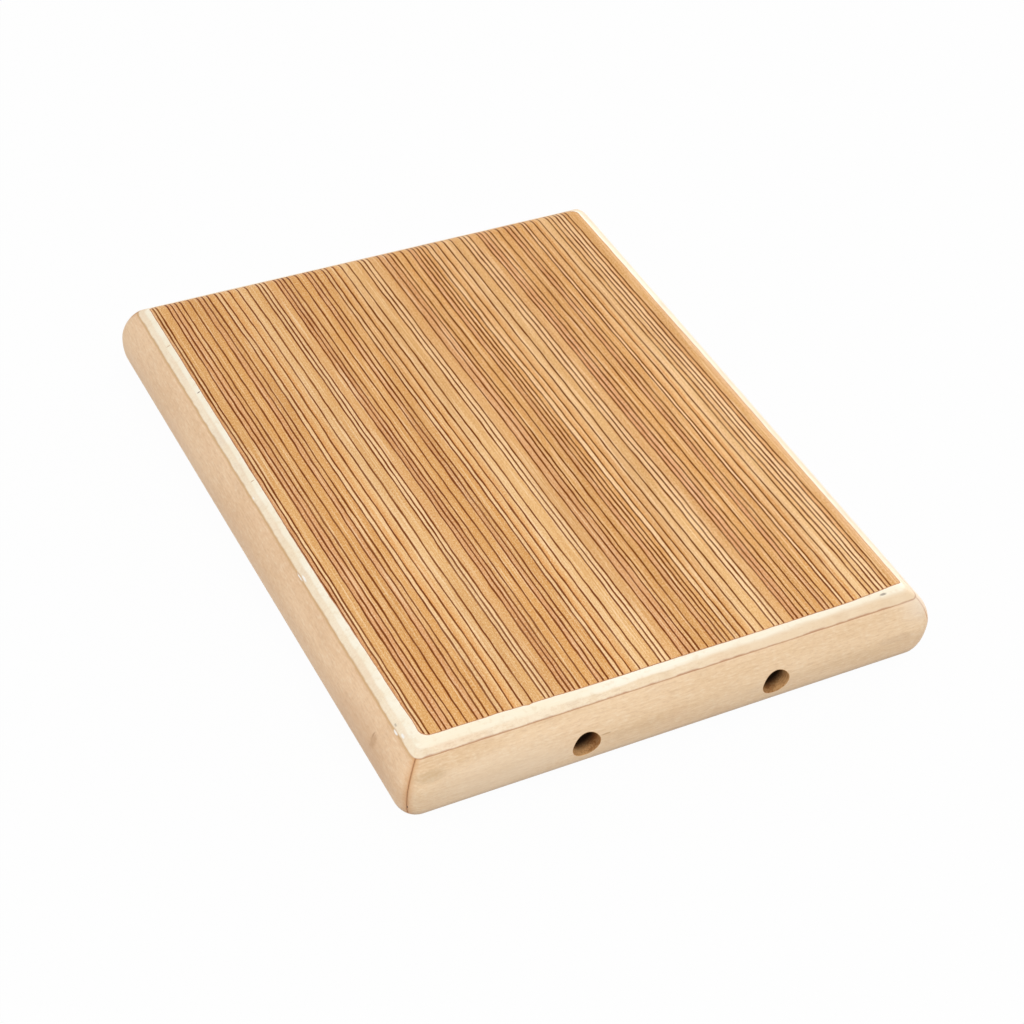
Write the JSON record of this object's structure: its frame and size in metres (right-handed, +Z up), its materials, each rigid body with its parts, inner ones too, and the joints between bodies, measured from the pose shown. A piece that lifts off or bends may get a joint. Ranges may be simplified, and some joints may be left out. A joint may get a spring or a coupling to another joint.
{
  "type": "travel cajon",
  "caption": "Flat laptop-sized box drum: zebrawood playing plate on a rounded maple frame, with snare strings inside that socket screws tighten through holes in the front rail.",
  "frame": {"origin": "on the resting plane of the pads, under the middle of the body", "axes": "+X across the body, +Y along it away from the key holes, +Z up out of the playing face"},
  "size_m": [0.245, 0.312, 0.0355],
  "materials": {
    "zebra_veneer": "satin lacquer",
    "cream_ply": "satin lacquer",
    "rail_maple": "satin lacquer",
    "beech": "bare",
    "back_ply": "matt lacquer",
    "black_steel": "black oxide",
    "zinc_steel": "bright zinc plate",
    "string_steel": "drawn wire",
    "pad_rubber": "matt"
  },
  "bodies": {
    "drum": {"front_rail": "rail_maple", "rear_rail": "rail_maple", "left_rail": "rail_maple", "right_rail": "rail_maple", "corner_block_front_left": "beech", "corner_block_front_right": "beech", "corner_block_rear_left": "beech", "corner_block_rear_right": "beech", "tapa_core": "cream_ply", "tapa_veneer": "zebra_veneer", "back_panel": "back_ply", "panel_screw_1": "black_steel", "panel_screw_2": "black_steel", "panel_screw_3": "black_steel", "panel_screw_4": "black_steel", "panel_screw_5": "black_steel", "panel_screw_6": "black_steel", "panel_screw_7": "black_steel", "panel_screw_8": "black_steel", "panel_screw_9": "black_steel", "panel_screw_10": "black_steel", "panel_screw_11": "black_steel", "panel_screw_12": "black_steel", "foot_pad_front_left": "pad_rubber", "foot_pad_front_right": "pad_rubber", "foot_pad_rear_left": "pad_rubber", "foot_pad_rear_right": "pad_rubber", "tuner_bracket_left": "zinc_steel", "thrust_washer_left": "zinc_steel", "string_anchor_left": "zinc_steel", "snare_string_left_1": "string_steel", "snare_string_left_2": "string_steel", "snare_string_left_3": "string_steel", "snare_string_left_4": "string_steel", "tuner_bracket_right": "zinc_steel", "thrust_washer_right": "zinc_steel", "string_anchor_right": "zinc_steel", "snare_string_right_1": "string_steel", "snare_string_right_2": "string_steel", "snare_string_right_3": "string_steel", "snare_string_right_4": "string_steel", "tuner_bracket_screw_1": "zinc_steel", "string_anchor_screw_1": "zinc_steel", "tuner_bracket_screw_2": "zinc_steel", "string_anchor_screw_2": "zinc_steel", "tuner_bracket_screw_3": "zinc_steel", "string_anchor_screw_3": "zinc_steel", "tuner_bracket_screw_4": "zinc_steel", "string_anchor_screw_4": "zinc_steel", "string_bridge_front": "beech", "string_bridge_rear": "beech"},
    "left_tuning_screw": {"tuning_screw_left": "black_steel", "retaining_ring_left": "zinc_steel"},
    "left_string_carriage": {"string_carriage_left": "zinc_steel"},
    "right_tuning_screw": {"tuning_screw_right": "black_steel", "retaining_ring_right": "zinc_steel"},
    "right_string_carriage": {"string_carriage_right": "zinc_steel"}
  },
  "joints": [
    {"name": "left_tuning_turn", "type": "hinge", "parent": "drum", "child": "left_tuning_screw", "pos_m": [-0.0435, -0.132, 0.0177], "axis": [0, 1, 0], "range_deg": [-1085, 1085]},
    {"name": "left_carriage_slide", "type": "slide", "parent": "drum", "child": "left_string_carriage", "axis": [0, -1, 0], "range_m": [-0.003, 0.003], "deforming": ["snare_string_left_1", "snare_string_left_2", "snare_string_left_3", "snare_string_left_4"]},
    {"name": "right_tuning_turn", "type": "hinge", "parent": "drum", "child": "right_tuning_screw", "pos_m": [0.0435, -0.132, 0.0177], "axis": [0, 1, 0], "range_deg": [-1085, 1085]},
    {"name": "right_carriage_slide", "type": "slide", "parent": "drum", "child": "right_string_carriage", "axis": [0, -1, 0], "range_m": [-0.003, 0.003], "deforming": ["snare_string_right_1", "snare_string_right_2", "snare_string_right_3", "snare_string_right_4"]}
  ],
  "couplings": [
    {"joint": "left_tuning_turn", "follows": "left_carriage_slide", "rad_per_m": 6283.2},
    {"joint": "right_tuning_turn", "follows": "right_carriage_slide", "rad_per_m": 6283.2}
  ]
}
